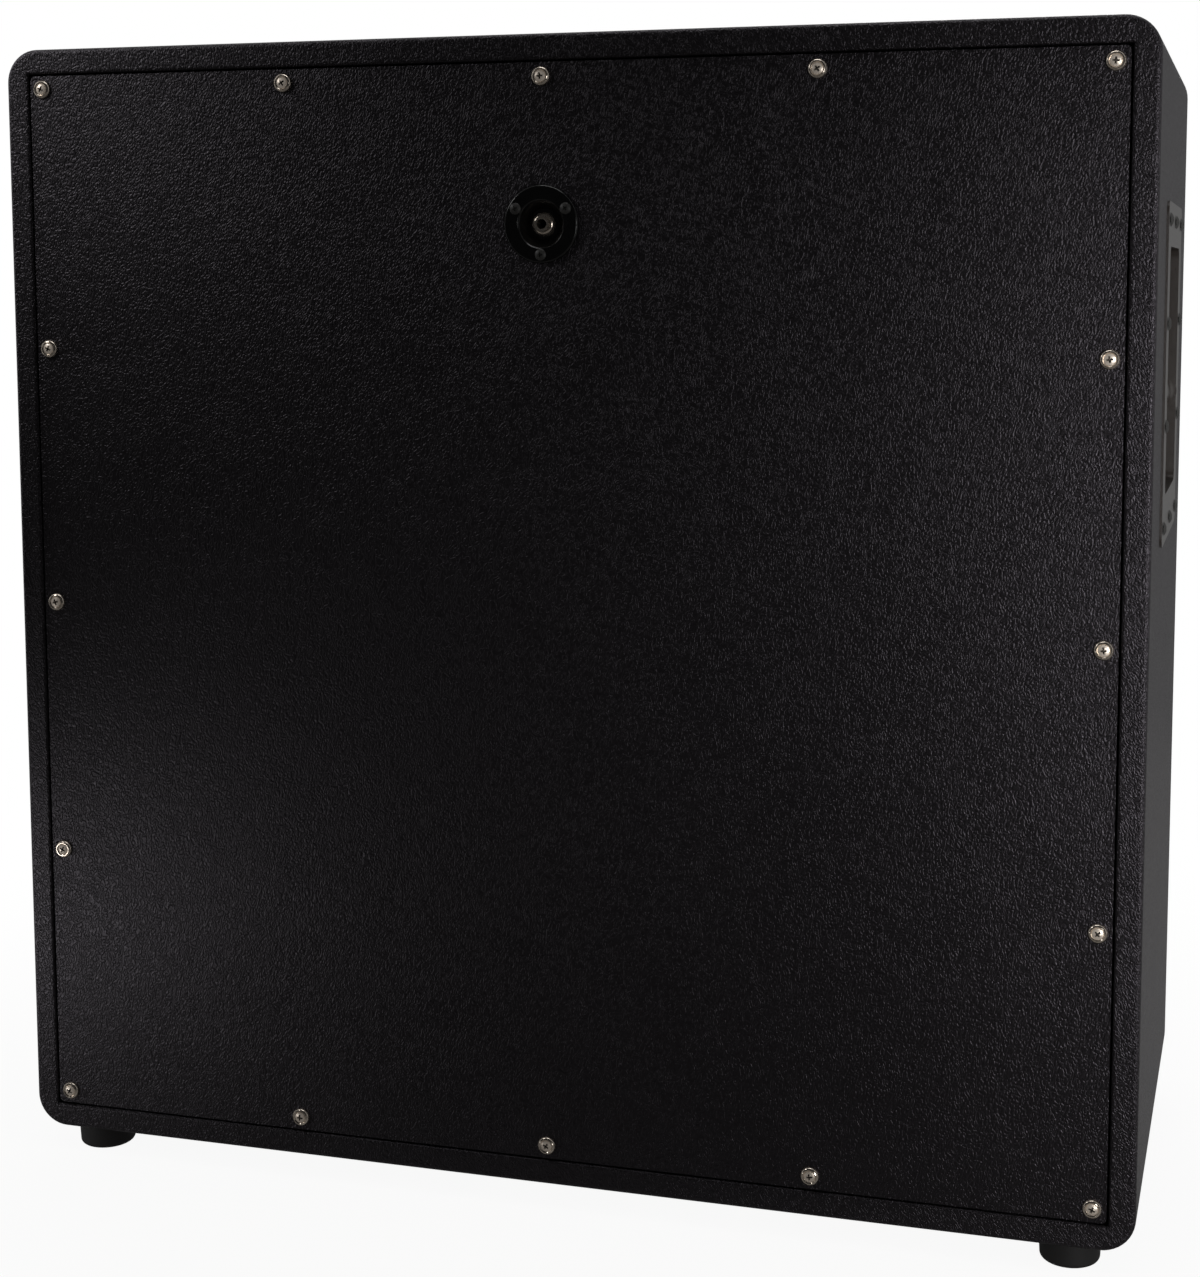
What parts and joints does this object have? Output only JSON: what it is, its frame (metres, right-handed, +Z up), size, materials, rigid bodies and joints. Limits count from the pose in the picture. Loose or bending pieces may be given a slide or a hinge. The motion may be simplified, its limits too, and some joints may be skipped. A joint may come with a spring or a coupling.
{
  "type": "guitar speaker cabinet",
  "caption": "Closed-back guitar speaker cabinet: vinyl-covered plywood box with screwed back panel, recessed jack, bar handles, rubber feet and drivers with travelling cones.",
  "frame": {"origin": "on the floor, midway under the four feet", "axes": "+Z up, +Y towards the back panel with the jack, -Y towards the grille"},
  "size_m": [0.7696, 0.353, 0.7655],
  "materials": {
    "plywood": "satin",
    "softwood": "matte",
    "black_vinyl": "satin",
    "grille_fabric": "matte",
    "hook_tape": "matte",
    "nickel_steel": "gloss",
    "zinc_steel": "satin",
    "black_plastic": "gloss",
    "black_screw_steel": "satin",
    "phenolic": "matte",
    "contact_brass": "satin",
    "black_painted_steel": "satin",
    "black_rubber": "matte",
    "basket_steel": "satin",
    "cork": "matte",
    "ferrite": "matte",
    "wire_sleeve": "satin",
    "cone_paper": "matte",
    "coil_copper": "satin",
    "treated_cloth": "matte"
  },
  "bodies": {
    "cabinet": {"back_covering": "black_vinyl", "back_cup_washers": "nickel_steel", "back_panel": "plywood", "back_panel_screws": "nickel_steel", "baffle_board": "plywood", "baffle_screws": "zinc_steel", "bottom_panel": "plywood", "centre_post": "softwood", "foot_front_left": "black_rubber", "foot_front_right": "black_rubber", "foot_rear_left": "black_rubber", "foot_rear_right": "black_rubber", "foot_screws": "zinc_steel", "front_cleats": "softwood", "grille_cloth": "grille_fabric", "grille_frame": "softwood", "grille_hook_pads": "hook_tape", "handle_screws": "black_screw_steel", "jack_body": "nickel_steel", "jack_contact": "contact_brass", "jack_dish": "black_plastic", "jack_dish_screws": "black_screw_steel", "jack_insulator": "phenolic", "jack_nut": "nickel_steel", "rear_cleats": "softwood", "shell_covering": "black_vinyl", "side_handle_left": "black_painted_steel", "side_handle_right": "black_painted_steel", "side_panel_left": "plywood", "side_panel_right": "plywood", "speaker_baskets": "basket_steel", "speaker_bolts": "zinc_steel", "speaker_gaskets": "cork", "speaker_magnets": "ferrite", "speaker_tee_nuts": "zinc_steel", "speaker_terminals": "phenolic", "speaker_top_plates": "zinc_steel", "speaker_wires": "wire_sleeve", "speaker_yokes": "zinc_steel", "spider_lower_left": "treated_cloth", "spider_lower_right": "treated_cloth", "spider_upper_left": "treated_cloth", "spider_upper_right": "treated_cloth", "surround_lower_left": "treated_cloth", "surround_lower_right": "treated_cloth", "surround_upper_left": "treated_cloth", "surround_upper_right": "treated_cloth", "top_panel": "plywood"},
    "cone_assembly_upper_left": {"cone_upper_left": "cone_paper", "dust_cap_upper_left": "cone_paper", "voice_coil_upper_left": "coil_copper"},
    "cone_assembly_upper_right": {"cone_upper_right": "cone_paper", "dust_cap_upper_right": "cone_paper", "voice_coil_upper_right": "coil_copper"},
    "cone_assembly_lower_left": {"cone_lower_left": "cone_paper", "dust_cap_lower_left": "cone_paper", "voice_coil_lower_left": "coil_copper"},
    "cone_assembly_lower_right": {"cone_lower_right": "cone_paper", "dust_cap_lower_right": "cone_paper", "voice_coil_lower_right": "coil_copper"}
  },
  "joints": [
    {"name": "cone_travel_upper_left", "type": "slide", "parent": "cabinet", "child": "cone_assembly_upper_left", "axis": [0, -1, 0], "range_m": [-0.004, 0.004], "stiffness_N_per_m": 7000, "deforming": ["surround_upper_left", "spider_upper_left"]},
    {"name": "cone_travel_upper_right", "type": "slide", "parent": "cabinet", "child": "cone_assembly_upper_right", "axis": [0, -1, 0], "range_m": [-0.004, 0.004], "stiffness_N_per_m": 7000, "deforming": ["surround_upper_right", "spider_upper_right"]},
    {"name": "cone_travel_lower_left", "type": "slide", "parent": "cabinet", "child": "cone_assembly_lower_left", "axis": [0, -1, 0], "range_m": [-0.004, 0.004], "stiffness_N_per_m": 7000, "deforming": ["surround_lower_left", "spider_lower_left"]},
    {"name": "cone_travel_lower_right", "type": "slide", "parent": "cabinet", "child": "cone_assembly_lower_right", "axis": [0, -1, 0], "range_m": [-0.004, 0.004], "stiffness_N_per_m": 7000, "deforming": ["surround_lower_right", "spider_lower_right"]}
  ]
}
